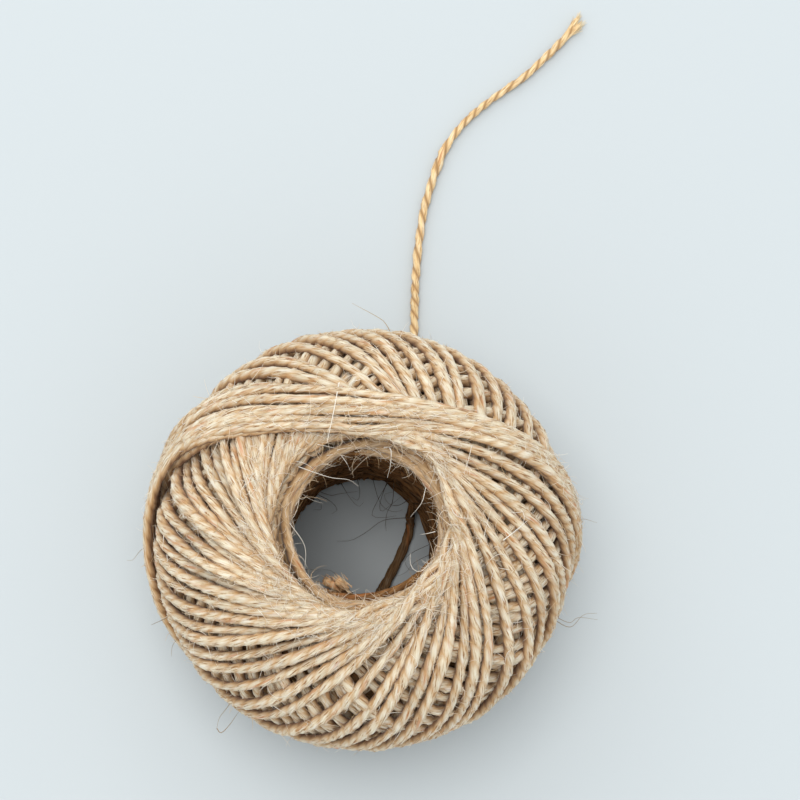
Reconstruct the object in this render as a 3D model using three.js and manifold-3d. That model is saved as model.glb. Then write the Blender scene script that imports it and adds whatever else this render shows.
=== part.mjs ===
// A hollow-centred ball of two-ply jute twine, wound without a core, with both of its ends loose.
// Millimetres, +Z up. The origin is on the resting surface, on the axis of the ball.
import * as THREE from 'three';
import { mergeVertices } from 'three/addons/utils/BufferGeometryUtils.js';
import Module from 'manifold-3d';

const { degToRad } = THREE.MathUtils;

// The wound form
const BALL_DIAMETER = 76;
const BALL_HEIGHT = 58.5; // without the finishing band
const SHOULDER_POWER = 2.3; // of the section's superellipse: 2 is an ellipse, more is fuller
const FLAT_PRESS = 2.6; // how much of the underside is pressed flat by the ball's own weight
const HOLE_DIAMETER = 26;
const HOLE_LEAN = 1; // the hole's top leans this far towards +X, and its foot as far towards -X
const LIP_WIDTH = 4; // from the hole's wall out to the crest of its rounded rim
const LIP_DROP = 8; // from that crest down to the straight wall

// The twine and its two plies
const TWINE_DIAMETER = 2;
const PLY_GROOVE = 0.32; // depth of the groove between the plies
const GROOVE_SHARPNESS = 4; // more makes the groove narrower
const LAY_LENGTH = 6.6; // one full turn of the plies around each other
const SECTIONS_PER_LAY = 5;
const SECTION_SIDES = 8;

// The turns that show on the ball: each runs from the rim of the hole round to its foot
const TURNS = 44;
const TURNS_TWISTED = 23; // how many turns a strand moves round in one trip through the hole
const TURN_RELIEF = 1;
const WALL_RELIEF = 0.6;
const TURN_SECTION = [-0.5, 0.5, 0.5]; // heights across one turn, as shares of the relief
const BUNCHING = 0.22; // the turns lie closer together on one side, and open on the other
const BUNCHING_ANGLE = degToRad(200);
const FACE_ROWS = 18;
const LIP_ROWS = 3;
const WALL_ROWS = 4;

// The finishing band: the last turns, laid side by side over all the others
const BAND_TURNS = 5;
const BAND_PITCH = 1.9;
const BAND_CREST = [0.3, 0.7]; // where a turn of the band is highest, as shares of the pitch
const BAND_GROOVE = 0.64; // between two turns of the band
const BAND_RISE = 1.3; // above the crests of the turns beneath
const BAND_ROOT = 3; // how deep the band's solid reaches into the ball
const BAND_REACH = 20; // from the axis to the band's middle, where it passes nearest the hole
const BAND_ANGLE = degToRad(97); // the side of the hole on which it passes, from +X towards +Y
const BAND_FLOOR = 0.05; // the band stays this much clear of the resting surface
const BAND_STATIONS = 64;

// The outer end leaves the underside of the ball and lies on the resting surface
const LOOSE_END_ROUTE = [
  [11.7, 23.3, 1.02],
  [12.1, 28, 1.02],
  [12.5, 34, 1.02],
  [13, 42, 1.02],
  [13.4, 46, 1.02],
  [14.1, 52, 1.02],
  [15.1, 58, 1.02],
  [16.7, 65, 1.02],
  [18.9, 71, 1.02],
  [21.2, 76, 1.02],
  [23.5, 79.3, 1.02],
  [26.4, 82.3, 1.02],
  [30.4, 85.3, 1.02],
  [34.6, 87.9, 1.02],
  [38.7, 90.3, 1.02],
  [42.6, 93.4, 1.02],
  [46.8, 97, 1.02],
  [50.2, 100.4, 1.02],
];

// The inner end leaves the back of the hole's wall, crosses its floor and climbs its front
const INNER_END_ROUTE = [
  [9.2, 6.1, 4.6],
  [9.1, 4.6, 2.3],
  [8.6, 2.6, 1.2],
  [7.4, 0, 1.05],
  [5.9, -2.6, 1.05],
  [4.4, -5, 1.2],
  [3, -7.2, 2],
  [1.8, -8.8, 4],
  [0.8, -9.7, 7],
  [-0.2, -10.2, 11],
  [-1.2, -10.4, 15],
  [-2.3, -10.3, 19],
  [-3.4, -9.8, 23],
  [-4.5, -9, 26.5],
  [-5.5, -7.9, 29.5],
  [-6.3, -6.6, 32],
];

// The finish
const JUTE_ROUGHNESS = 0.92;
const WOUND_COLOUR = 0xc4a780;
const LOOSE_END_COLOUR = 0xcfae7a;
const INNER_END_COLOUR = 0xa5794a;

// Worked out from the sizes above
const BALL_RADIUS = BALL_DIAMETER / 2 - TURN_RELIEF / 2;
const HOLE_RADIUS = HOLE_DIAMETER / 2;
const LIP_RADIUS = HOLE_RADIUS + LIP_WIDTH;
const HALF_HEIGHT = (BALL_HEIGHT + FLAT_PRESS - TURN_RELIEF) / 2;
const MID_HEIGHT = (BALL_HEIGHT - FLAT_PRESS) / 2;

/** The angle from the axis at which the outer face is this far from the axis. */
function colatitudeAt(radius) {
  return Math.asin((radius / BALL_RADIUS) ** (SHOULDER_POWER / 2));
}

const LIP_COLATITUDE = colatitudeAt(LIP_RADIUS);
const POLE_HEIGHT = HALF_HEIGHT / Math.cos(LIP_COLATITUDE) ** (2 / SHOULDER_POWER);

/** The outer face's distance from the axis, and its height, at an angle from the axis. */
function facePoint(colatitude) {
  const power = 2 / SHOULDER_POWER;
  const cosine = Math.cos(colatitude);
  return {
    radius: BALL_RADIUS * Math.sin(colatitude) ** power,
    height: MID_HEIGHT + POLE_HEIGHT * Math.sign(cosine) * Math.abs(cosine) ** power,
  };
}

/** Where a turn that passes nearest the axis at tilt has got to after an angle of its travel. */
function turnPoint(tilt, travel) {
  return {
    colatitude: Math.acos(Math.cos(tilt) * Math.cos(travel)),
    swing: Math.atan2(Math.sin(travel), Math.sin(tilt) * Math.cos(travel)),
  };
}

/** How far the hole's lean moves a point in X; lean is 1 on the hole's wall and 0 at the waist. */
function leanShift(height, lean) {
  return HOLE_LEAN * lean * (height / MID_HEIGHT - 1);
}

/** The outer face's rows, from the rim of the hole down to its foot. */
function faceRows() {
  const tilt = colatitudeAt(HOLE_RADIUS);
  const start = Math.acos(Math.cos(LIP_COLATITUDE) / Math.cos(tilt));
  const rows = [];
  for (let i = 0; i <= FACE_ROWS; i += 1) {
    const travel = start + (Math.PI - 2 * start) * (i / FACE_ROWS);
    const { colatitude, swing } = turnPoint(tilt, travel);
    const lean = Math.cos(colatitude) ** 2;
    rows.push({ ...facePoint(colatitude), swing: -swing, relief: TURN_RELIEF, lean });
  }
  return rows;
}

/** The hole's rows, from its foot up round the wall to the rim, without the face's own rows. */
function holeRows(foot, rim) {
  const wallHeight = HALF_HEIGHT - LIP_DROP;
  const profile = [];
  for (let i = 1; i < LIP_ROWS; i += 1) {
    const angle = (Math.PI / 2) * (i / LIP_ROWS);
    profile.push([LIP_RADIUS - LIP_WIDTH * Math.sin(angle), wallHeight + LIP_DROP * Math.cos(angle)]);
  }
  const lower = profile.map(([radius, height]) => [radius, MID_HEIGHT - height]);
  const upper = profile.map(([radius, height]) => [radius, MID_HEIGHT + height]).reverse();
  const wall = [];
  for (let i = 0; i <= WALL_ROWS; i += 1) {
    wall.push([HOLE_RADIUS, MID_HEIGHT + wallHeight * (2 * (i / WALL_ROWS) - 1)]);
  }
  const points = [...lower, ...wall, ...upper];
  const wholeSwing = -2 * Math.PI * (TURNS_TWISTED / TURNS);
  const swingPerRow = (wholeSwing + rim.swing - foot.swing) / (points.length + 1);
  return points.map(([radius, height], i) => ({
    radius,
    height,
    swing: foot.swing + swingPerRow * (i + 1),
    relief: WALL_RELIEF,
    lean: 1,
  }));
}

/** The outward direction of the closed section at each of its rows, in radius and height. */
function addNormals(rows) {
  return rows.map((row, i) => {
    const before = rows[(i + rows.length - 1) % rows.length];
    const after = rows[(i + 1) % rows.length];
    const normal = new THREE.Vector2(before.height - after.height, after.radius - before.radius);
    return { ...row, normal: normal.normalize() };
  });
}

/** The ball with its turns raised on a grid that runs along them. */
function woundBall() {
  const face = faceRows();
  const rows = addNormals([...face, ...holeRows(face[face.length - 1], face[0])]);
  const columns = TURNS * TURN_SECTION.length;
  const position = [];
  for (const row of rows) {
    for (let j = 0; j < columns; j += 1) {
      const even = 2 * Math.PI * (j / columns) + row.swing;
      const angle = even - BUNCHING * Math.sin(even - BUNCHING_ANGLE);
      const rise = TURN_SECTION[j % TURN_SECTION.length] * row.relief;
      const radius = row.radius + rise * row.normal.x;
      const height = row.height + rise * row.normal.y;
      const x = radius * Math.cos(angle) + leanShift(height, row.lean);
      position.push(x, radius * Math.sin(angle), Math.max(height, 0));
    }
  }
  const index = [];
  for (let i = 0; i < rows.length; i += 1) {
    const last = i === rows.length - 1;
    const shift = last ? TURNS_TWISTED * TURN_SECTION.length : 0;
    const below = last ? 0 : i + 1;
    for (let j = 0; j < columns; j += 1) {
      const next = (j + 1) % columns;
      const a = i * columns + j;
      const b = i * columns + next;
      const c = below * columns + ((next + columns - shift) % columns);
      const d = below * columns + ((j + columns - shift) % columns);
      index.push(a, c, b, a, d, c);
    }
  }
  return indexedGeometry(position, index);
}

/** A point on the face where the band's middle line passes, after an angle of its travel. */
function bandPoint(travel) {
  const { colatitude, swing } = turnPoint(colatitudeAt(BAND_REACH), travel);
  const { radius, height } = facePoint(colatitude);
  const angle = BAND_ANGLE + swing;
  const x = radius * Math.cos(angle) + leanShift(height, Math.cos(colatitude) ** 2);
  return new THREE.Vector3(x, radius * Math.sin(angle), height);
}

/** The band's section, as pairs of distance across it and height above the face. */
function bandSection() {
  const halfWidth = (BAND_TURNS * BAND_PITCH) / 2;
  const crest = TURN_RELIEF / 2 + BAND_RISE;
  const valley = crest - BAND_GROOVE;
  const points = [[-halfWidth, -BAND_ROOT]];
  for (let k = 0; k < BAND_TURNS; k += 1) {
    const start = -halfWidth + k * BAND_PITCH;
    points.push([start, k === 0 ? 0 : valley]);
    points.push(...BAND_CREST.map((share) => [start + BAND_PITCH * share, crest]));
  }
  points.push([halfWidth, 0], [halfWidth, -BAND_ROOT]);
  return points;
}

/** The finishing band as one closed ring of a ribbed section. */
function finishingBand() {
  const section = bandSection();
  const step = (2 * Math.PI) / BAND_STATIONS;
  const middle = new THREE.Vector3(0, 0, MID_HEIGHT);
  const position = [];
  for (let i = 0; i < BAND_STATIONS; i += 1) {
    const point = bandPoint(i * step);
    const along = bandPoint((i + 0.5) * step).sub(bandPoint((i - 0.5) * step)).normalize();
    const outward = point.clone().sub(middle);
    outward.addScaledVector(along, -outward.dot(along)).normalize();
    const across = new THREE.Vector3().crossVectors(outward, along);
    for (const [offset, rise] of section) {
      const drop = offset ** 2 / BALL_DIAMETER;
      const corner = point.clone().addScaledVector(across, offset);
      corner.addScaledVector(outward, rise - drop);
      position.push(corner.x, corner.y, Math.max(corner.z, BAND_FLOOR));
    }
  }
  const index = [];
  for (let i = 0; i < BAND_STATIONS; i += 1) {
    const ahead = (i + 1) % BAND_STATIONS;
    for (let j = 0; j < section.length; j += 1) {
      const next = (j + 1) % section.length;
      const a = i * section.length + j;
      const b = i * section.length + next;
      const c = ahead * section.length + next;
      const d = ahead * section.length + j;
      index.push(a, c, b, a, d, c);
    }
  }
  return indexedGeometry(position, index);
}

/** A loose length of twine along a route, its two plies twisted round each other. */
function twistedTwine(route) {
  const path = new THREE.CatmullRomCurve3(route.map((point) => new THREE.Vector3(...point)));
  const length = path.getLength();
  const steps = Math.round((length / LAY_LENGTH) * SECTIONS_PER_LAY);
  const frames = path.computeFrenetFrames(steps);
  const position = [];
  for (let i = 0; i <= steps; i += 1) {
    const centre = path.getPointAt(i / steps);
    const twist = -2 * Math.PI * (((i / steps) * length) / LAY_LENGTH);
    for (let j = 0; j < SECTION_SIDES; j += 1) {
      const angle = 2 * Math.PI * (j / SECTION_SIDES);
      const radius = TWINE_DIAMETER / 2 - PLY_GROOVE * Math.cos(angle) ** GROOVE_SHARPNESS;
      const corner = centre.clone();
      corner.addScaledVector(frames.normals[i], radius * Math.cos(angle + twist));
      corner.addScaledVector(frames.binormals[i], radius * Math.sin(angle + twist));
      position.push(...corner.toArray());
    }
  }
  const index = [];
  for (let i = 0; i < steps; i += 1) {
    for (let j = 0; j < SECTION_SIDES; j += 1) {
      const a = i * SECTION_SIDES + j;
      const b = i * SECTION_SIDES + ((j + 1) % SECTION_SIDES);
      index.push(a, b, b + SECTION_SIDES, a, b + SECTION_SIDES, a + SECTION_SIDES);
    }
  }
  const end = steps * SECTION_SIDES;
  for (let j = 1; j < SECTION_SIDES - 1; j += 1) {
    index.push(0, j + 1, j, end, end + j, end + j + 1);
  }
  return indexedGeometry(position, index);
}

/** A geometry of shared points and the triangles between them. */
function indexedGeometry(position, index) {
  const geometry = new THREE.BufferGeometry();
  geometry.setAttribute('position', new THREE.Float32BufferAttribute(position, 3));
  geometry.setIndex(index);
  return geometry;
}

const wasm = await Module();
wasm.setup();

/** Joins two closed geometries into one. */
function join(first, second) {
  const [a, b] = [first, second].map((geometry) => {
    const merged = mergeVertices(geometry);
    const vertProperties = new Float32Array(merged.attributes.position.array);
    const triVerts = new Uint32Array(merged.index.array);
    return new wasm.Manifold(new wasm.Mesh({ numProp: 3, vertProperties, triVerts }));
  });
  const mesh = a.add(b).getMesh();
  return indexedGeometry([...mesh.vertProperties], [...mesh.triVerts]);
}

/** A named piece with its own shade of matt jute. */
function piece(name, geometry, color) {
  geometry.computeVertexNormals();
  const material = new THREE.MeshStandardMaterial({ color, roughness: JUTE_ROUGHNESS, metalness: 0 });
  const mesh = new THREE.Mesh(geometry, material);
  mesh.name = name;
  return mesh;
}

const ball = new THREE.Group();
ball.add(piece('wound_ball', join(woundBall(), finishingBand()), WOUND_COLOUR));
ball.add(piece('loose_end', twistedTwine(LOOSE_END_ROUTE), LOOSE_END_COLOUR));
ball.add(piece('inner_end', twistedTwine(INNER_END_ROUTE), INNER_END_COLOUR));

export default ball;
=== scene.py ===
"""A coreless ball of two-ply jute twine with an open centre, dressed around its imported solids.

The turns are laid one after another, each over those before it, as the winding machine lays them.
Sizes are in millimetres and turn into metres as meshes are made.
"""

import logging
import math
from dataclasses import dataclass, field
from enum import Enum
from typing import Iterable, Sequence

import bpy
import numpy as np
from mathutils import Matrix, Vector


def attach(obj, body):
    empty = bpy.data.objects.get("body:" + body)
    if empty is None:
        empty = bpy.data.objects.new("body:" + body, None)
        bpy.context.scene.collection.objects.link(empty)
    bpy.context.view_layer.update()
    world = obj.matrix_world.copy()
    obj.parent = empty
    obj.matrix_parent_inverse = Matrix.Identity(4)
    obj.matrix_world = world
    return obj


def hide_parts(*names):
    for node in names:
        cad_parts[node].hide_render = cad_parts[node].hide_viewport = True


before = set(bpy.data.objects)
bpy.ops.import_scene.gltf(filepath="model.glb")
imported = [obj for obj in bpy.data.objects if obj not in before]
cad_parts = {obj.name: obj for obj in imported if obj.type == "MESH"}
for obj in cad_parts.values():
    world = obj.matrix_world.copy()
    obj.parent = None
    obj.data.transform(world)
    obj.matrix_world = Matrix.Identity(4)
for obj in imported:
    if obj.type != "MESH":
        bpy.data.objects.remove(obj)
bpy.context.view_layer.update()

log = logging.getLogger("ball_of_twine")

MM = 0.001
BODY = "root"
BAKE_MAP = "OFBake"
BALL_NODE = "wound_ball"
FLOOR_GAP = 0.02
FIBRE_SIDES = 3
FIBRE_TIP = 0.3
FIBRE_MARGINS = (0.1, 0.05)
CURVE_STEPS = 12
STEEP_RISE = 0.7

Array = np.ndarray
Pair = tuple[float, float]
Triple = tuple[float, float, float]


class Detail(Enum):
    """How finely a run of twine is meshed: the sides of its section and its step in mm."""

    TOP = (12, 0.8)
    UNDER = (8, 1.2)
    WALL = (6, 1.4)
    END = (16, 0.4)

    @property
    def sides(self) -> int:
        """The number of points round the section."""
        return self.value[0]

    @property
    def step(self) -> float:
        """The distance between sections."""
        return self.value[1]


class Grain(Enum):
    """A pattern in the jute: how fast it changes over the twine, and its octaves."""

    STREAKS = ((3.4, 3.4, 0.4), 4.0)
    LENGTHS = ((0.0, 0.0, 0.06), 3.0)
    FLECKS = ((0.9, 0.9, 0.11), 2.0)
    GREYS = ((2.3, 2.3, 0.3), 3.0)
    FIBRES = ((5.5, 5.5, 0.35), 3.0)

    @property
    def scale(self) -> Triple:
        """How fast it changes round the twine, given twice, and along it per mm."""
        return self.value[0]

    @property
    def octaves(self) -> float:
        """The octaves of its noise."""
        return self.value[1]


@dataclass(frozen=True)
class JuteFinish:
    """Matt jute, streaked along its fibres, with the colours as linear values. The edge colour and the
    darkest colour after it are painted shade: they are laid on the twine's flanks and deep in its grooves,
    where the turns beside it would shade it.
    """

    name: str
    pale: Triple
    middle: Triple
    dark: Triple
    fleck: Triple = (0.48, 0.17, 0.05)
    fleck_from: float = 0.6
    fleck_share: float = 0.7
    bleached: Triple = (0.75, 0.71, 0.63)
    bleached_from: float = 0.54
    bleached_share: float = 0.6
    patch_edge: float = 0.12
    # Painted shade: the colour that the twine's shaded flanks turn towards, and how far they turn.
    edge: Triple = (0.50, 0.285, 0.115)
    shaded_flank_share: float = 0.8
    # Painted shade: the darker colour laid deepest in the grooves and on the hidden flanks, how much of it
    # there is, and the painted shade value where it begins.
    painted_shade: Triple = (0.16, 0.062, 0.015)
    deep_shade_share: float = 0.9
    deep_shade_from: float = 0.5
    ramp: Triple = (0.35, 0.45, 0.68)
    tone_noise: Pair = (0.3, 0.7)
    tone_range: Pair = (0.82, 1.1)
    roughness: float = 0.9
    specular: float = 0.2
    sheen: float = 0.25
    sheen_roughness: float = 0.6
    bump_strength: float = 0.6
    bump_height: float = 0.12

    def material(self) -> bpy.types.Material:
        """Builds the streaked material.

        Returns:
            The material, which reads the weave attribute and the painted shade attribute of a twine mesh.
        """
        made = bpy.data.materials.new(self.name)
        made.use_nodes = True
        nodes = made.node_tree.nodes
        links = made.node_tree.links
        shader = nodes["Principled BSDF"]
        shader.inputs["Roughness"].default_value = self.roughness
        shader.inputs["Specular IOR Level"].default_value = self.specular
        shader.inputs["Sheen Weight"].default_value = self.sheen
        shader.inputs["Sheen Roughness"].default_value = self.sheen_roughness

        weave = nodes.new("ShaderNodeAttribute")
        weave.attribute_name = "weave"
        painted_shade = nodes.new("ShaderNodeAttribute")
        painted_shade.attribute_name = "painted_shade"

        streaks = self._noise(nodes, links, weave, Grain.STREAKS)
        lengths = self._noise(nodes, links, weave, Grain.LENGTHS)
        flecks = self._noise(nodes, links, weave, Grain.FLECKS)
        greys = self._noise(nodes, links, weave, Grain.GREYS)

        dark_to, middle_at, pale_from = self.ramp
        tint = nodes.new("ShaderNodeValToRGB")
        tint.color_ramp.elements[0].position = dark_to
        tint.color_ramp.elements[0].color = (*self.dark, 1.0)
        tint.color_ramp.elements[1].position = pale_from
        tint.color_ramp.elements[1].color = (*self.pale, 1.0)
        half = tint.color_ramp.elements.new(middle_at)
        half.color = (*self.middle, 1.0)
        links.new(streaks, tint.inputs["Fac"])

        dry_full = self.bleached_from + self.patch_edge
        dry = self._patches(nodes, links, greys, self.bleached_from, dry_full, self.bleached_share)
        links.new(tint.outputs["Color"], dry.inputs["A"])
        dry.inputs["B"].default_value = (*self.bleached, 1.0)
        warm_full = self.fleck_from + self.patch_edge
        warm = self._patches(nodes, links, flecks, self.fleck_from, warm_full, self.fleck_share)
        links.new(dry.outputs["Result"], warm.inputs["A"])
        warm.inputs["B"].default_value = (*self.fleck, 1.0)

        tone = nodes.new("ShaderNodeMapRange")
        tone.inputs["From Min"].default_value = self.tone_noise[0]
        tone.inputs["From Max"].default_value = self.tone_noise[1]
        tone.inputs["To Min"].default_value = self.tone_range[0]
        tone.inputs["To Max"].default_value = self.tone_range[1]
        links.new(lengths, tone.inputs["Value"])
        toned = nodes.new("ShaderNodeVectorMath")
        toned.operation = "SCALE"
        links.new(warm.outputs["Result"], toned.inputs["Vector"])
        links.new(tone.outputs["Result"], toned.inputs["Scale"])
        # Painted shade: the flanks go towards the edge colour and the deepest parts go towards the darkest
        # colour, standing in for the shade between turns.
        depth = painted_shade.outputs["Fac"]
        sides = self._patches(nodes, links, depth, 0.0, self.deep_shade_from, self.shaded_flank_share)
        links.new(toned.outputs["Vector"], sides.inputs["A"])
        sides.inputs["B"].default_value = (*self.edge, 1.0)
        final = self._patches(nodes, links, depth, self.deep_shade_from, 1.0, self.deep_shade_share)
        links.new(sides.outputs["Result"], final.inputs["A"])
        final.inputs["B"].default_value = (*self.painted_shade, 1.0)
        links.new(final.outputs["Result"], shader.inputs["Base Color"])

        fibres = self._noise(nodes, links, weave, Grain.FIBRES)
        bump = nodes.new("ShaderNodeBump")
        bump.inputs["Strength"].default_value = self.bump_strength
        bump.inputs["Distance"].default_value = self.bump_height * MM
        links.new(fibres, bump.inputs["Height"])
        links.new(bump.outputs["Normal"], shader.inputs["Normal"])
        return made

    @staticmethod
    def _patches(
        nodes: bpy.types.Nodes,
        links: bpy.types.NodeLinks,
        value: bpy.types.NodeSocket,
        begins: float,
        full: float,
        strength: float,
    ) -> bpy.types.Node:
        """Adds a mix that lays a second colour where a value is high.

        Args:
            nodes: The material's nodes.
            links: The material's links.
            value: The value.
            begins: The value at which the second colour begins.
            full: The value from which there is most of it.
            strength: How much of it there is at most.

        Returns:
            The mix, whose colours are still to be set.
        """
        edge = nodes.new("ShaderNodeMapRange")
        edge.inputs["From Min"].default_value = begins
        edge.inputs["From Max"].default_value = full
        edge.inputs["To Max"].default_value = strength
        links.new(value, edge.inputs["Value"])
        mix = nodes.new("ShaderNodeMix")
        mix.data_type = "RGBA"
        links.new(edge.outputs["Result"], mix.inputs["Factor"])
        return mix

    @staticmethod
    def _noise(
        nodes: bpy.types.Nodes,
        links: bpy.types.NodeLinks,
        weave: bpy.types.Node,
        grain: Grain,
    ) -> bpy.types.NodeSocket:
        """Adds noise that is drawn out along the twine.

        Args:
            nodes: The material's nodes.
            links: The material's links.
            weave: The node that gives the place round and along the twine.
            grain: The pattern that the noise makes.

        Returns:
            The noise's value, from 0 to 1.
        """
        stretch = nodes.new("ShaderNodeVectorMath")
        stretch.operation = "MULTIPLY"
        stretch.inputs[1].default_value = grain.scale
        links.new(weave.outputs["Vector"], stretch.inputs[0])
        noise = nodes.new("ShaderNodeTexNoise")
        noise.inputs["Scale"].default_value = 1.0
        noise.inputs["Detail"].default_value = grain.octaves
        links.new(stretch.outputs["Vector"], noise.inputs["Vector"])
        return noise.outputs["Fac"]


@dataclass(frozen=True)
class FibreFinish:
    """Single stray fibres, from pale to golden, as linear colours."""

    name: str
    pale: Triple
    golden: Triple
    roughness: float = 0.6

    def material(self) -> bpy.types.Material:
        """Builds the fibre material.

        Returns:
            The material, which reads the tone attribute of a fibre mesh.
        """
        made = bpy.data.materials.new(self.name)
        made.use_nodes = True
        nodes = made.node_tree.nodes
        links = made.node_tree.links
        shader = nodes["Principled BSDF"]
        shader.inputs["Roughness"].default_value = self.roughness
        tone = nodes.new("ShaderNodeAttribute")
        tone.attribute_name = "tone"
        mix = nodes.new("ShaderNodeMix")
        mix.data_type = "RGBA"
        mix.inputs["A"].default_value = (*self.golden, 1.0)
        mix.inputs["B"].default_value = (*self.pale, 1.0)
        links.new(tone.outputs["Fac"], mix.inputs["Factor"])
        links.new(mix.outputs["Result"], shader.inputs["Base Color"])
        return made


@dataclass
class Shape:
    """Faces of one piece, in mm, with what its finish reads at each point and corner."""

    points: Array
    quads: Array
    corners: Array
    values: dict[str, Array] = field(default_factory=dict)

    @staticmethod
    def joined(shapes: Sequence["Shape"]) -> "Shape":
        """Joins shapes into one.

        Args:
            shapes: The shapes, which carry the same values.

        Returns:
            One shape with all their faces.
        """
        starts = np.cumsum([0] + [len(s.points) for s in shapes[:-1]])
        return Shape(
            np.concatenate([s.points for s in shapes]),
            np.concatenate([s.quads + n for s, n in zip(shapes, starts)]),
            np.concatenate([s.corners for s in shapes]),
            {k: np.concatenate([s.values[k] for s in shapes]) for k in shapes[0].values},
        )

    def piece(self, name: str, material: bpy.types.Material) -> bpy.types.Object:
        """Makes the Blender object.

        Args:
            name: The piece's name.
            material: Its finish.

        Returns:
            A smooth-shaded mesh object in metres.
        """
        mesh = bpy.data.meshes.new(name)
        mesh.vertices.add(len(self.points))
        mesh.vertices.foreach_set("co", (self.points * MM).astype(np.float32).ravel())
        mesh.loops.add(self.quads.size)
        mesh.loops.foreach_set("vertex_index", self.quads.astype(np.int32).ravel())
        mesh.polygons.add(len(self.quads))
        mesh.polygons.foreach_set("loop_start", np.arange(0, self.quads.size, 4, dtype=np.int32))
        mesh.polygons.foreach_set("use_smooth", np.ones(len(self.quads), dtype=bool))
        layer = mesh.uv_layers.new(name=BAKE_MAP)
        layer.uv.foreach_set("vector", self.corners.astype(np.float32).ravel())
        for key, value in self.values.items():
            kind = "FLOAT_VECTOR" if value.ndim == 2 else "FLOAT"
            store = mesh.attributes.new(key, kind, "POINT")
            slot = "vector" if value.ndim == 2 else "value"
            store.data.foreach_set(slot, value.astype(np.float32).ravel())
        mesh.update()
        mesh.validate()
        made = bpy.data.objects.new(name, mesh)
        made.data.materials.append(material)
        bpy.context.collection.objects.link(made)
        log.info("%s: %d faces", name, len(self.quads))
        return made


def dress(pieces: Iterable[bpy.types.Object], node: str | None = None) -> None:
    """Lets pieces ride on the ball and hides the solid that they replace.

    Args:
        pieces: The pieces.
        node: The solid that they replace.
    """
    for piece in pieces:
        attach(piece, BODY)
        if node:
            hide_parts(node)


def waves(place: Array, terms: Sequence[Triple], base: Array | float = 0.0) -> Array:
    """Adds sine waves to a base.

    Args:
        place: Where to read the waves.
        terms: Each wave's height, rate and phase.
        base: What they are added to.

    Returns:
        The sum at each place.
    """
    return sum((height * np.sin(place * rate + phase) for height, rate, phase in terms), base)


@dataclass
class Run:
    """A stretch of twine: its middle line, the way out of the surface, its start and its girth."""

    centres: Array
    ups: Array
    start: float = 0.0
    girth: Array | None = None

    def even(self, step: float) -> "Run":
        """Spaces the points evenly.

        Args:
            step: The wanted distance between points.

        Returns:
            The same run with evenly spaced points.
        """
        gaps = np.linalg.norm(np.diff(self.centres, axis=0), axis=1)
        along = np.concatenate([[0.0], np.cumsum(gaps)])
        count = max(int(round(along[-1] / step)), 2)
        at = np.linspace(0.0, along[-1], count + 1)
        centres = np.stack([np.interp(at, along, c) for c in self.centres.T], axis=1)
        ups = np.stack([np.interp(at, along, c) for c in self.ups.T], axis=1)
        girth = np.ones(count + 1) if self.girth is None else np.interp(at, along, self.girth)
        return Run(centres, ups, self.start, girth)


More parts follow.
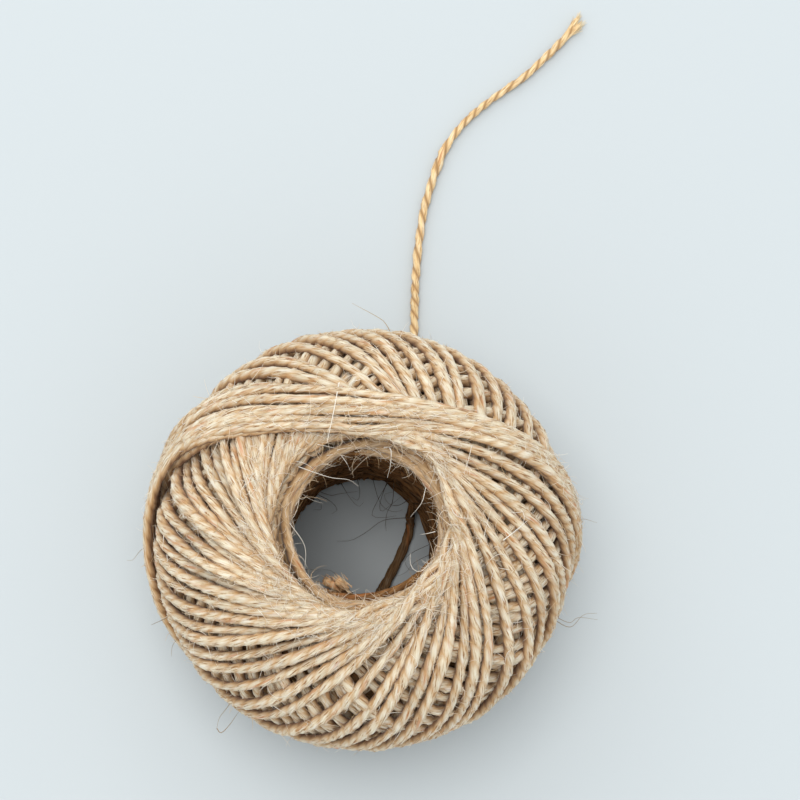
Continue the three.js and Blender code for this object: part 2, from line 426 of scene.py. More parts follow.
@dataclass(frozen=True)
class Twine:
    """Two plies twisted round each other in an S."""

    diameter: float = 2.0
    lay_length: float = 6.6
    ply_share: float = 0.22
    ply_radius: float = 0.56
    ply_apart: float = 0.44
    round_radius: float = 0.96
    fibre_lean: float = 0.8
    # Painted shade: how dark the ply grooves and the flanks turned away from the open side are painted, how
    # narrow the groove shade is, and where the flank shade begins and how far it spreads.
    painted_groove_darkness: float = 0.35
    painted_groove_sharpness: int = 6
    painted_flank_darkness: float = 0.3
    painted_flank_begins: float = 0.8
    painted_flank_spread: float = 1.2
    twist_wander: tuple[Triple, ...] = ((0.9, 0.131, 0.4), (0.6, 0.317, 1.7))
    girth_wander: tuple[Triple, ...] = (
        (0.05, 0.23, 2.1),
        (0.035, 0.61, 0.0),
        (0.02, 1.7, 0.0),
    )
    uneven: float = 0.0
    uneven_wander: tuple[Triple, ...] = (
        (1.0, 0.047, 0.7),
        (0.7, 0.113, 2.9),
        (0.5, 0.37, 1.3),
    )
    rough: float = 0.03
    end_girth: float = 0.05
    bake_row: float = 240.0
    bake_margin: float = 0.04

    def section(self, sides: int) -> tuple[Array, Array]:
        """The outline of two soft plies side by side.

        Args:
            sides: How many points the outline has.

        Returns:
            The points' angles and their distances from the middle.
        """
        angles = np.arange(sides) * 2 * np.pi / sides
        apart = self.ply_apart
        beyond = np.sqrt(self.ply_radius**2 - (apart * np.sin(angles)) ** 2)
        pair = apart * np.abs(np.cos(angles)) + beyond
        share = self.ply_share
        return angles, self.diameter / 2 * (pair * share + self.round_radius * (1 - share))

    def tube(self, run: Run, detail: Detail, row: float, rows: int) -> Shape:
        """Makes a run of twine as a twisted tube with closed ends, pressed flat on the floor, with painted
        shade in its ply grooves and on the flanks turned away from its up direction.

        Args:
            run: The run to follow.
            detail: How finely to mesh it.
            row: Where on the bake map it starts, in mm of twine.
            rows: How many rows the bake map has.

        Returns:
            The tube's faces.
        """
        even = run.even(detail.step)
        centres = even.centres
        count = len(centres)
        along = np.concatenate([[0.0], np.cumsum(np.linalg.norm(np.diff(centres, axis=0), axis=1))])
        ahead = np.gradient(centres, axis=0)
        ahead /= np.linalg.norm(ahead, axis=1, keepdims=True)
        up = even.ups - ahead * np.sum(even.ups * ahead, axis=1, keepdims=True)
        up /= np.linalg.norm(up, axis=1, keepdims=True)
        side = np.cross(ahead, up)

        angles, radii = self.section(detail.sides)
        place = along + run.start
        twist = waves(place, self.twist_wander, -2 * np.pi * place / self.lay_length)
        turned = angles[None, :] + twist[:, None]
        shrink = waves(place, self.girth_wander, 1.0) + self.uneven * waves(place, self.uneven_wander)
        shrink = shrink * even.girth
        shrink[[0, -1]] = self.end_girth
        reach = radii[None, :, None] * shrink[:, None, None]
        lumps = np.random.default_rng(count).normal(0.0, self.rough, reach.shape[:2])
        reach = reach * (1 + lumps[..., None])
        points = centres[:, None, :] + reach * (
            np.cos(turned)[..., None] * up[:, None, :] + np.sin(turned)[..., None] * side[:, None, :]
        )
        points[..., 2] = np.maximum(points[..., 2], FLOOR_GAP)

        streak = angles[None, :] + self.fibre_lean * twist[:, None]
        length = np.broadcast_to(place[:, None], streak.shape)
        weave = np.stack([np.cos(streak), np.sin(streak), length], axis=-1)
        # Painted shade: darker in the ply grooves and on the flanks that turn away from the up direction,
        # where neighbouring turns would shade them.
        groove_darkening = self.painted_groove_darkness * np.sin(angles)[None, :] ** self.painted_groove_sharpness
        flank_darkening = self.painted_flank_darkness * np.clip((self.painted_flank_begins - np.cos(turned)) / self.painted_flank_spread, 0, 1)
        painted_shade = np.clip(groove_darkening + flank_darkening, 0, 1)

        quads, corners = self._faces(count, detail.sides, along + row, rows)
        values = {"weave": weave.reshape(-1, 3), "painted_shade": painted_shade.reshape(-1)}
        return Shape(points.reshape(-1, 3), quads, corners, values)

    def _faces(self, count: int, sides: int, along: Array, rows: int) -> tuple[Array, Array]:
        """The faces between neighbouring sections, and their corners on the bake map.

        Args:
            count: The number of sections.
            sides: The number of points in each.
            along: How far along the piece's twine each section is.
            rows: How many rows the bake map has.

        Returns:
            The faces' point numbers and their corners' places on the map.
        """
        ring = np.repeat(np.arange(count - 1), sides)
        point = np.tile(np.arange(sides), count - 1)
        beside = (point + 1) % sides
        here = ring * sides
        ahead = here + sides
        quads = np.stack([here + point, here + beside, ahead + beside, ahead + point], axis=1)
        line = np.floor(along[ring] / self.bake_row)
        start = np.clip(along[ring] / self.bake_row - line, 0, 1)
        end = np.clip(along[ring + 1] / self.bake_row - line, 0, 1)
        width = 1 - 2 * self.bake_margin
        low = (line + self.bake_margin + width * point / sides) / rows
        high = (line + self.bake_margin + width * (point + 1) / sides) / rows
        corners = np.stack(
            [np.stack(pair, axis=1) for pair in ((start, low), (start, high), (end, high), (end, low))],
            axis=1,
        )
        return quads, corners.reshape(-1, 2)

    def shape(self, runs: Sequence[Run], detail: Detail) -> Shape:
        """Makes several runs of twine as one shape.

        Args:
            runs: The runs.
            detail: How finely to mesh them.

        Returns:
            All their faces.
        """
        lengths = [float(np.linalg.norm(np.diff(r.centres, axis=0), axis=1).sum()) for r in runs]
        rows = math.ceil(sum(lengths) / self.bake_row) + 1
        starts = np.cumsum([0.0] + lengths[:-1])
        return Shape.joined([self.tube(r, detail, s, rows) for r, s in zip(runs, starts)])


@dataclass
class BallForm:
    """The form that the turns build up: a squat ball with a round hole and a flat foot."""

    diameter: float = 76.0
    height: float = 58.5
    shoulder_power: float = 2.3
    flat_press: float = 2.6
    hole_diameter: float = 26.0
    hole_lean: float = 1.0
    lip_width: float = 4.0
    lip_drop: float = 8.0
    relief: float = 1.0
    samples: int = 3000

    def __post_init__(self) -> None:
        """Works out the section from the sizes."""
        self.radius = self.diameter / 2 - self.relief / 2
        self.hole_radius = self.hole_diameter / 2
        self.lip_radius = self.hole_radius + self.lip_width
        self.middle = (self.height - self.flat_press) / 2
        half = (self.height + self.flat_press - self.relief) / 2
        lip = self.colatitude_at(self.lip_radius)
        self.pole = half / math.cos(lip) ** (2 / self.shoulder_power)
        edge = self.colatitude_at(self.hole_radius)
        self.colatitudes = np.linspace(edge, np.pi - edge, self.samples)
        self.section_radius, self.section_height = self._section(self.colatitudes)
        out = np.gradient(self.section_radius)
        rise = np.gradient(self.section_height)
        length = np.hypot(out, rise)
        self.normal_out = -rise / length
        self.normal_up = out / length
        self.arc = np.concatenate([[0.0], np.cumsum(length[1:])])

    def colatitude_at(self, radius: float) -> float:
        """The angle from the axis at which the face is this far from the axis."""
        return math.asin((radius / self.radius) ** (self.shoulder_power / 2))

    def _section(self, colatitude: Array) -> tuple[Array, Array]:
        """The face's section, with its rounded rim and foot.

        Args:
            colatitude: Angles from the axis.

        Returns:
            Distances from the axis and heights.
        """
        power = 2 / self.shoulder_power
        cosine = np.cos(colatitude)
        radius = self.radius * np.sin(colatitude) ** power
        rise = self.pole * np.abs(cosine) ** power
        inward = np.clip((self.lip_radius - radius) / self.lip_width, 0, 1)
        rise = rise - self.lip_drop * (1 - np.sqrt(1 - inward**2))
        return radius, self.middle + np.sign(cosine) * rise

    def arc_at(self, colatitude: Array) -> Array:
        """How far along the section, from the rim of the hole, each angle lies."""
        return np.interp(colatitude, self.colatitudes, self.arc)

    def place(self, colatitude: Array, angle: Array, height: Array) -> tuple[Array, Array]:
        """Points above the face.

        Args:
            colatitude: Angles from the axis.
            angle: Angles round the axis.
            height: Heights above the face.

        Returns:
            The points and the directions out of the face there.
        """
        out = np.interp(colatitude, self.colatitudes, self.normal_out)
        up = np.interp(colatitude, self.colatitudes, self.normal_up)
        radius = np.interp(colatitude, self.colatitudes, self.section_radius) + height * out
        rise = np.interp(colatitude, self.colatitudes, self.section_height) + height * up
        lean = self.hole_lean * np.cos(colatitude) ** 2 * (rise / self.middle - 1)
        points = np.stack([radius * np.cos(angle) + lean, radius * np.sin(angle), rise], axis=-1)
        ways = np.stack([out * np.cos(angle), out * np.sin(angle), up], axis=-1)
        return points, ways

    def turn(self, reach: Array, offset: Array, veer: float, travel: Array) -> tuple[Array, Array]:
        """Follows a turn that passes the axis at a distance, over the top and under the foot.

        Args:
            reach: The turn's least distance from the axis.
            offset: How far beside the ball's middle it heads for at half height.
            veer: How far it turns off from there at most, two thirds of the way down.
            travel: The angle travelled from where it passes nearest.

        Returns:
            The angles from the axis, and those round it from where it passes nearest.
        """
        power = 2 / self.shoulder_power
        tilt = np.arcsin((reach / self.radius) ** (1 / power))
        colatitude = np.arccos(np.clip(np.cos(tilt) * np.cos(travel), -1, 1))
        rise = np.sign(np.cos(travel)) * np.abs(np.cos(travel)) ** power
        beside = reach * rise + offset * (1 - rise**2)
        down = (1 - rise) / 2
        beside = beside - veer * np.where(travel > 0, (1.5 * down) ** 4 * (3 - 3 * down) ** 2, 0)
        swing = np.arccos(np.clip(beside / (self.radius * np.sin(colatitude) ** power), -1, 1))
        return colatitude, np.sign(travel) * swing


@dataclass
class Lap:
    """One turn of the twine as laid: where it runs on the face, and how high."""

    colatitude: Array
    angle: Array
    height: Array
    start: float


@dataclass(frozen=True)
class Turn:
    """One turn as planned: its distance from the axis, its side of the hole, and how it runs.

    The offsets are those with which it climbs to the top and leaves it again, and the veer is how far
    it turns off on the way down.
    """

    reach: float
    angle: float
    climbs: float
    leaves: float
    veer: float = 0.0


@dataclass
class Winding:
    """The turns of twine that show, laid over each other in the order of winding.

    Angles are in degrees. A map of the face, the bed, holds how high what has been laid stands.
    """

    form: BallForm
    twine: Twine
    band_twine: Twine
    seed: int = 42
    last_angle: float = 55.0
    turned: float = 1000.0
    close_spacing: float = 5.0
    open_spacing: float = 8.9
    open_angle: float = 45.0
    spacing_wander: float = 0.26
    spacing_limits: Pair = (0.5, 1.7)
    top_reach: float = 16.2
    top_shift: float = 1.0
    top_shift_angle: float = 150.0
    offset: float = 2.4
    under_reach: float = 15.0
    reach_wander: float = 0.45
    reach_limits: Pair = (-1.5, 2.0)
    sway: tuple[Triple, ...] = ((0.5, 1.37, 1.1), (0.4, 2.21, 0.4), (0.3, 3.73, 2.0))
    top_turned: float = 385.0
    top_parts: int = 3
    cell: float = 0.5
    columns: int = 512
    map_margin: int = 4
    step: float = 0.5
    bed_width: float = 1.84
    bed_depth: float = 0.86
    bridge: float = 10.0
    bridge_rise: float = 0.35
    pull: int = 40
    lay_blur: int = 4
    settle: float = 6.0
    least_give: float = 0.24
    evening: float = 6.0
    evening_share: float = 1.6
    evening_rounds: int = 3
    level: float = 0.9
    level_blur: int = 6
    top_most: float = 0.5
    band_rise: Pair = (0.3, 1.25)
    band_sink: float = 0.4
    hidden: float = -5.4
    least_points: int = 6
    squeeze: float = 0.74
    squeezed: Pair = (16.5, 27.0)
    last: tuple[Turn, ...] = (
        Turn(15.6, 64.6, 0.8, 2.4),
        Turn(15.8, 76.3, -0.9, 2.4),
        Turn(15.9, 82.0, -1.3, 5.0),
    )
    band: tuple[Turn, ...] = (
        Turn(17.4, 85.0, -0.2, 8.7, 17.0),
        Turn(19.2, 81.5, 2.6, 7.7, 9.0),
        Turn(16.3, 87.2, -1.7, 10.2, 22.0),
        Turn(18.5, 83.0, 1.3, 7.3, 12.0),
        Turn(20.0, 80.0, 4.0, 8.2, 6.5),
        Turn(21.4, 76.5, 7.0, 7.2, 0.0),
    )

    def __post_init__(self) -> None:
        """Prepares the map of what has been laid."""
        self.random = np.random.default_rng(self.seed)
        rows = int(self.form.arc[-1] / self.cell) + 2 * self.map_margin + 1
        self.bed = np.zeros((rows, self.columns))
        self.laps: list[Lap] = []
        self.top_from = 0
        self.band_from = 0

    def plan(self) -> list[Turn]:
        """Plans the turns, from the first laid to the last.

        Returns:
            The turns, with the finishing band at the end.
        """
        least, most = self.spacing_limits
        angles = [self.last_angle]
        while self.last_angle - angles[-1] < self.turned:
            swing = math.cos(math.radians(angles[-1] - self.open_angle))
            mean = (self.open_spacing + self.close_spacing) / 2
            spacing = mean + (self.open_spacing - self.close_spacing) / 2 * swing
            wander = 1 + self.spacing_wander * self.random.normal()
            angles.append(angles[-1] - spacing * min(max(wander, least), most))
        angles = np.array(angles[::-1])
        top = angles > self.last_angle - self.top_turned
        shift = self.top_shift * np.cos(np.radians(angles - self.top_shift_angle))
        reach = np.where(top, self.top_reach + shift, self.under_reach)
        wander = np.clip(self.random.normal(size=len(angles)), *self.reach_limits)
        reach = reach + self.reach_wander * wander
        turns = [Turn(float(r), float(a), self.offset, self.offset) for r, a in zip(reach, angles)]
        turns.extend(self.last)
        self.top_from = int(np.argmax(top))
        self.band_from = len(turns)
        return turns + list(self.band)

    def wind(self) -> None:
        """Lays every turn in order, then evens out the pile that they make."""
        turns = self.plan()
        ends_angle = self._between(np.radians([t.angle for t in turns]))
        ends_reach = self._between(np.array([t.reach for t in turns]))
        count = int(2 * np.pi * self.form.radius / self.step)
        travel = np.linspace(-np.pi, np.pi, count)
        before = travel < 0
        ease = 0.5 - 0.5 * np.cos(travel)
        share = 1 - np.abs(travel) / np.pi
        start = 0.0
        last = None
        level = None
        for n, turn in enumerate(turns):
            if n == self.band_from:
                level = self._evened()
            side = np.where(before, ends_angle[n], ends_angle[n + 1])
            near = np.where(before, ends_reach[n], ends_reach[n + 1])
            reach = near + (turn.reach - near) * (1 - ease)
            offset = np.where(before, turn.climbs, turn.leaves)
            colatitude, swing = self.form.turn(reach, offset, turn.veer, travel)
            angle = side + (math.radians(turn.angle) - side) * share + swing + self._sway(n, travel)
            lap = self._lay(colatitude, angle, last, level)
            lap.start = start
            points, _ = self.form.place(lap.colatitude, lap.angle, lap.height)
            start += float(np.linalg.norm(np.diff(points, axis=0), axis=1).sum())
            last = lap.height[-1]
            self.laps.append(lap)
        for n, lap in enumerate(self.laps):
            row, column = self._cells(lap.colatitude, lap.angle)
            height = lap.height - level[row, column]
            if n < self.band_from:
                height = np.minimum(height, self.top_most)
            blur = self.level_blur
            lap.height = self._blurred(self._blurred(height, blur), blur) + self.level

    @staticmethod
    def _between(values: Array) -> Array:
        """The values half-way between turns, with the first and last held."""
        return np.concatenate([values[:1], (values[1:] + values[:-1]) / 2, values[-1:]])

    def _sway(self, turn: int, travel: Array) -> Array:
        """The small wander of a turn from its true line, in radians."""
        return np.radians(waves(travel + 2 * np.pi * turn, self.sway))

    def _cells(self, colatitude: Array, angle: Array) -> tuple[Array, Array]:
        """The map's cells under points of the face.

        Args:
            colatitude: The points' angles from the axis.
            angle: Their angles round the axis.

        Returns:
            The cells' rows and columns.
        """
        row = np.round(self.form.arc_at(colatitude) / self.cell).astype(int) + self.map_margin
        column = np.round(angle / (2 * np.pi) * self.columns).astype(int) % self.columns
        return row, column

    def _lay(self, colatitude: Array, angle: Array, last: float | None, level: Array | None) -> Lap:
        """Lays one turn over what is there and adds it to the map.

        Args:
            colatitude: The turn's angles from the axis.
            angle: Its angles round the axis.
            last: The height at which the turn before it ended.
            level: The evened height of the pile beneath the finishing band.

        Returns:
            The turn as laid.
        """
        row, column = self._cells(colatitude, angle)
        least = self.bed[row, column]
        around = self._blurred(least, int(self.bridge / self.step))
        least = np.minimum(least, around + self.bridge_rise)
        if level is not None:
            firm = self.band_sink + (1 - self.band_sink) * np.cos(colatitude) ** 2
            lowest, highest = self.band_rise
            lift = np.clip(least - level[row, column], lowest * firm, highest * firm)
            least = level[row, column] + lift
        height = least.copy()
        for _ in range(self.pull):
            between = 0.5 * (np.roll(height, 1) + np.roll(height, -1))
            between[[0, -1]] = height[[0, -1]]
            height = np.maximum(least, between)
        height = self._blurred(self._blurred(height, self.lay_blur), self.lay_blur)
        if last is not None:
            distance = np.arange(len(height)) * self.step
            height = height + (last - height[0]) * np.exp(-distance / self.settle)
        self._deposit(colatitude, angle, height)
        return Lap(colatitude, angle, height, 0.0)

    def _deposit(self, colatitude: Array, angle: Array, height: Array) -> None:
        """Raises the map where a turn lies, to the height of a turn that crosses it.

        Args:
            colatitude: The turn's angles from the axis.
            angle: Its angles round the axis.
            height: Its heights above the face.
        """
        reach = np.arange(-self.bed_width, self.bed_width + 0.01, self.cell / 2)
        along, across = np.meshgrid(reach, reach)
        inside = along**2 + across**2 < self.bed_width**2
        along = along[inside]
        across = across[inside]
        cap = self.bed_depth * np.sqrt(self.bed_width**2 - along**2 - across**2)
        radius = np.interp(colatitude, self.form.colatitudes, self.form.section_radius)
        arc = self.form.arc_at(colatitude)
        row = np.round((arc[:, None] + along[None, :]) / self.cell).astype(int) + self.map_margin
        row = np.clip(row, 0, len(self.bed) - 1)
        turn = (angle[:, None] + across[None, :] / radius[:, None]) / (2 * np.pi)
        column = np.round(turn * self.columns).astype(int) % self.columns
        raised = height[:, None] + self._give(colatitude)[:, None] * cap[None, :]
        np.maximum.at(self.bed, (row.ravel(), column.ravel()), raised.ravel())

    def _give(self, colatitude: Array) -> Array:
        """How much of its thickness a turn keeps, as turns crowd together near the hole.

        Args:
            colatitude: The turn's angles from the axis.

        Returns:
            The shares that it keeps.
        """
        crowd = (self.top_reach / self.form.radius) ** self.form.shoulder_power
        free = np.sqrt(np.maximum(np.sin(colatitude) ** 2 - crowd, 0) / (1 - crowd))
        return np.clip(free, self.least_give, 1.0)

    @staticmethod
    def _blurred(values: Array, spread: int) -> Array:
        """A running mean with its ends held.

        Args:
            values: The values.
            spread: How many neighbours on each side count.

        Returns:
            The means.
        """
        padded = np.pad(values, spread, mode="edge")
        sums = np.concatenate([[0.0], np.cumsum(padded)])
        width = 2 * spread + 1
        return (sums[width:] - sums[:-width]) / width

    def _evened(self) -> Array:
        """The map's broad rise and fall, without the single turns.

        Returns:
            The map, evened out.
        """
        mean = self._blurred(self.bed.mean(axis=1), 2)[:, None]
        level = self.bed - mean
        spread = int(self.evening / self.cell / self.evening_share)
        for _ in range(self.evening_rounds):
            level = np.apply_along_axis(self._blurred, 0, level, spread)
            wide = np.concatenate([level, level, level], axis=1)
            wide = np.apply_along_axis(self._blurred, 1, wide, spread)
            level = wide[:, self.columns : 2 * self.columns]
        return level + mean

    def runs(self, first: int, last: int) -> list[Run]:
        """The stretches of some turns that are not buried.

        Args:
            first: The first turn.
            last: The turn after the last.

        Returns:
            Their runs of twine.
        """
        runs = []
        for lap in self.laps[first:last]:
            points, ways = self.form.place(lap.colatitude, lap.angle, lap.height)
            along = np.concatenate([[0.0], np.cumsum(np.linalg.norm(np.diff(points, axis=0), axis=1))])
            shown = lap.height > self.hidden
            edges = np.flatnonzero(np.diff(np.concatenate([[0], shown.astype(int), [0]])))
            for a, b in zip(edges[::2], edges[1::2]):
                if b - a > self.least_points:
                    girth = self._girth(lap.colatitude[a:b])
                    runs.append(Run(points[a:b], ways[a:b], lap.start + along[a], girth))
        return runs

    def _girth(self, colatitude: Array) -> Array:
        """How thick a turn stays, as turns are squeezed together near the hole."""
        radius = np.interp(colatitude, self.form.colatitudes, self.form.section_radius)
        return np.interp(radius, self.squeezed, (self.squeeze, 1.0))

    def build(self, material: bpy.types.Material) -> list[bpy.types.Object]:
        """Makes and dresses the winding's pieces.

        Args:
            material: The wound twine's finish.

        Returns:
            The pieces, the turns split among several. The pieces, none of them too
            large to export whole.
        """
        self.wind()
        total = len(self.laps)
        groups = {
            "winding_under_a": (0, self.top_from // 2, Detail.UNDER),
            "winding_under_b": (self.top_from // 2, self.top_from, Detail.UNDER),
        }
        top = self.band_from - self.top_from
        for n in range(self.top_parts):
            low = self.top_from + top * n // self.top_parts
            high = self.top_from + top * (n + 1) // self.top_parts
            groups[f"winding_top_{'abc'[n]}"] = (low, high, Detail.TOP)
        groups["finishing_band"] = (self.band_from, total, Detail.TOP)
        pieces = []
        for name, (low, high, detail) in groups.items():
            twine = self.band_twine if low == self.band_from else self.twine
            pieces.append(twine.shape(self.runs(low, high), detail).piece(name, material))
        dress(pieces, BALL_NODE)
        return pieces


@dataclass
class Core:
    """The buried turns, coloured dark as painted shade and seen only between those above."""

    form: BallForm
    depth: float = 4.4
    rows: int = 72
    wall_rows: int = 16
    columns: int = 144
    rim_angle: float = 0.02
    foot: float = 1.2
    grain: float = 0.8

    def build(self, material: bpy.types.Material) -> bpy.types.Object:
        """Makes and dresses the closed ring that fills the winding.

        Args:
            material: Its finish, dark as painted shade.

        Returns:
            The piece.
        """
        edge = self.form.colatitudes[0] + self.rim_angle
        colatitude = np.linspace(edge, np.pi - edge, self.rows)
        angle = np.linspace(0, 2 * np.pi, self.columns, endpoint=False)
        spread_c, spread_a = np.meshgrid(colatitude, angle, indexing="ij")
        face, _ = self.form.place(spread_c, spread_a, np.full(spread_c.shape, -self.depth))
        face[..., 2] = np.maximum(face[..., 2], self.foot)
        share = np.linspace(0, 1, self.wall_rows + 2)[1:-1, None, None]
        wall = face[-1][None] * (1 - share) + face[0][None] * share
        points = np.concatenate([face, wall])
        rows = len(points)
        row = np.repeat(np.arange(rows), self.columns)
        column = np.tile(np.arange(self.columns), rows)
        here = row * self.columns
        below = (row + 1) % rows * self.columns
        beside = (column + 1) % self.columns
        quads = np.stack([here + column, below + column, below + beside, here + beside], axis=1)
        corners = np.stack(
            [
                np.stack([(column + across) / self.columns, (row + down) / rows], axis=1)
                for across, down in ((0, 0), (0, 1), (1, 1), (1, 0))
            ],
            axis=1,
        )
        flat = points.reshape(-1, 3)
        values = {"weave": flat * self.grain, "painted_shade": np.zeros(len(flat))}
        piece = Shape(flat, quads, corners.reshape(-1, 2), values).piece("buried_turns", material)
        dress([piece], BALL_NODE)
        return piece


@dataclass
class HoleWall:
    """The wall of the open centre: where older, smaller turns passed nearest the axis.

    The lead is the route on which the inner end comes out of it.
    """

    form: BallForm
    twine: Twine
    lead: tuple[Triple, ...]
    seed: int = 5
    levels: int = 17
    per_level: int = 9
    scatter: float = 0.7
    stagger: float = 0.37
    rise_scatter: float = 0.6
    slope: float = 0.25
    sag_length: float = 60.0
    foot: float = 1.0
    joints: int = 16
    twist_shift: float = 40.0
    reach: Pair = (13.6, 14.5)
    shown_to: float = 17.0
    shown_height: float = 0.68

    def build(self, material: bpy.types.Material) -> bpy.types.Object:
        """Makes and dresses the wall's turns.

        Args:
            material: Their finish, dark partly with painted shade.

        Returns:
            The piece.
        """
        random = np.random.default_rng(self.seed)
        runs = []
        half = self.form.pole * self.shown_height
        for side in (1.0, -1.0):
            for level in range(self.levels):
                for n in range(self.per_level):
                    turned = n + self.scatter * random.random() + self.stagger * level
                    middle = 2 * np.pi * turned / self.per_level
                    rise = half * (level + self.rise_scatter * random.random()) / self.levels
                    reach = random.uniform(*self.reach)
                    slope = random.uniform(-self.slope, self.slope)
                    runs.append(self._arc(middle, side * rise, reach, slope))
        runs.append(smooth_run(self.lead))
        piece = self.twine.shape(runs, Detail.WALL).piece("hole_wall", material)
        dress([piece], BALL_NODE)
        return piece

    def _arc(self, middle: float, rise: float, reach: float, slope: float) -> Run:
        """A turn where it passes the axis.

        Args:
            middle: The angle at which it passes nearest.
            rise: How far above the ball's middle it passes.
            reach: How near the axis it passes.
            slope: How much it rises as it goes.

        Returns:
            The run.
        """
        half = math.sqrt(self.shown_to**2 - reach**2)
        along = np.linspace(-half, half, self.joints)
        sag = along**2 / self.sag_length * np.sign(rise)
        height = self.form.middle + rise - sag + slope * along
        lean = self.form.hole_lean * (height / self.form.middle - 1)
        x = reach * np.cos(middle) - along * np.sin(middle) + lean
        y = reach * np.sin(middle) + along * np.cos(middle)
        centres = np.stack([x, y, np.maximum(height, self.foot)], axis=1)
        ups = np.stack([-x, -y, np.zeros_like(x)], axis=1)
        ups = ups / np.linalg.norm(ups, axis=1, keepdims=True)
        return Run(centres, ups, self.twist_shift * middle)


@dataclass
class HoleRing:
    """The rim of the open centre: older turns that bend round it, below the last ones."""

    form: BallForm
    twine: Twine
    seed: int = 8
    levels: int = 4
    per_level: int = 4
    top: float = 52.6
    drop: float = 1.75
    reach: float = 13.85
    scatter: float = 0.4
    stagger: float = 0.37
    wander: float = 0.35
    height_wander: float = 1.2
    swing: float = 68.0
    flare: float = 2.6
    climb: float = -1.6
    facing_up: float = 0.8
    joints: int = 40
    twist_shift: float = 55.0
    sagging: Triple = (-78.0, 12.0, 48.0)

    def build(
        self,
        material: bpy.types.Material,
        low_material: bpy.types.Material,
    ) -> list[bpy.types.Object]:
        """Makes and dresses the rim's turns, and one older turn that sags into the hole below them.

        Args:
            material: The turns' finish.
            low_material: The finish of the turn that sags, dark partly with painted shade.

        Returns:
            The pieces.
        """
        middle, reach, height = self.sagging
        low = self._bend(math.radians(middle), reach, height)
        pieces = [
            self.twine.shape(self.runs(), Detail.TOP).piece("hole_ring", material),
            self.twine.shape([low], Detail.TOP).piece("hole_ring_low", low_material),
        ]
        dress(pieces, BALL_NODE)
        return pieces

    def runs(self) -> list[Run]:
        """The rim's runs of twine.

        Returns:
            The runs, without the turn that sags.
        """
        random = np.random.default_rng(self.seed)
        runs = []
        for level in range(self.levels):
            for n in range(self.per_level):
                turned = n + self.scatter * random.random() + self.stagger * level
                middle = 2 * np.pi * turned / self.per_level
                reach = self.reach + self.wander * random.uniform(-1, 1)
                uneven = self.height_wander * self.wander * random.uniform(-1, 1)
                runs.append(self._bend(middle, reach, self.top - self.drop * level + uneven))
        return runs

    def _bend(self, middle: float, reach: float, height: float) -> Run:
        """A turn where it bends round the hole.

        Args:
            middle: The angle at which it passes nearest the axis.
            reach: How near it passes.
            height: How high it is there.

        Returns:
            The run, which dips under the turns around it at both ends.
        """
        away = np.linspace(-1, 1, self.joints)
        angle = middle + math.radians(self.swing) * away
        radius = reach + self.flare * away**2
        rise = height + self.climb * away**2
        lean = self.form.hole_lean * (rise / self.form.middle - 1)
        x = radius * np.cos(angle)
        y = radius * np.sin(angle)
        centres = np.stack([x + lean, y, rise], axis=1)
        ups = np.stack([-x / radius, -y / radius, np.full_like(x, self.facing_up)], axis=1)
        ups = ups / np.linalg.norm(ups, axis=1, keepdims=True)
        return Run(centres, ups, self.twist_shift * middle)


@dataclass
class Roots:
    """Places on the twine from which fibres can grow."""

    points: Array
    aheads: Array
    ups: Array

    @staticmethod
    def along(runs: Sequence[Run]) -> "Roots":
        """Spreads places evenly along runs of twine.

        Args:
            runs: The runs.

        Returns:
            The places, 1 mm apart.
        """
        even = [run.even(1.0) for run in runs]
        return Roots(
            np.concatenate([run.centres for run in even]),
            np.concatenate([np.gradient(run.centres, axis=0) for run in even]),
            np.concatenate([run.ups for run in even]),
        )


@dataclass(frozen=True)
class Fuzz:
    """One kind of fine fibre that stands off the twine."""

    name: str
    seed: int
    count: int
    length: Pair
    thickness: float
    joints: int
    lift: float
    curl: float
    rim_share: float
    facing: float = -1.0
    rim: float = 22.0
    rim_from: float = 45.0
    side_lean: float = 0.7
    root_lift: float = 0.72
    root_spread: float = 0.45
    droop: float = 0.4
    thickness_range: Pair = (0.7, 1.3)
    floor_gap: float = 0.06

    def build(self, roots: Roots, material: bpy.types.Material) -> bpy.types.Object:
        """Grows and dresses the fibres, more thickly round the hole.

        Args:
            roots: Where they can grow.
            material: Their finish.

        Returns:
            The piece.
        """
        random = np.random.default_rng(self.seed)
        points = roots.points
        by_rim = (np.hypot(points[:, 0], points[:, 1]) < self.rim) & (points[:, 2] > self.rim_from)
        chance = (1 + self.rim_share * by_rim) * (roots.ups[:, 2] > self.facing)
        pick = random.choice(len(points), self.count, p=chance / chance.sum())
        ahead = roots.aheads[pick] * random.choice([-1.0, 1.0], self.count)[:, None]
        up = roots.ups[pick]
        side = np.cross(ahead, up)
        lift = np.abs(random.normal(0.0, self.lift, self.count))
        lean = random.normal(0.0, self.side_lean, self.count)
        way = ahead + up * lift[:, None] + side * lean[:, None]
        beside = random.normal(0, self.root_spread, self.count)
        start = points[pick] + up * self.root_lift + side * beside[:, None]
        low, high = self.length
        length = low + (high - low) * random.random(self.count) ** 2
        bend = random.normal(0, self.curl, (self.count, 3)) - up * self.droop * self.curl
        tone = random.random(self.count)
        thickness = self.thickness * random.uniform(*self.thickness_range, self.count)
        paths = self._paths(start, way, bend, length)
        piece = fibre_shape(paths, thickness, tone).piece(self.name, material)
        dress([piece])
        return piece

    def _paths(self, start: Array, way: Array, bend: Array, length: Array) -> Array:
        """Curling middle lines of fibres.

        Args:
            start: Where each begins.
            way: Its first direction.
            bend: How it turns along its length.
            length: Its length.

        Returns:
            The points, by fibre and joint.
        """
        steps = self.joints - 1
        paths = [start]
        for _ in range(steps):
            way = way / np.linalg.norm(way, axis=1, keepdims=True)
            paths.append(paths[-1] + way * length[:, None] / steps)
            way = way + bend / steps
        paths = np.stack(paths, axis=1)
        paths[..., 2] = np.maximum(paths[..., 2], self.floor_gap)
        return paths


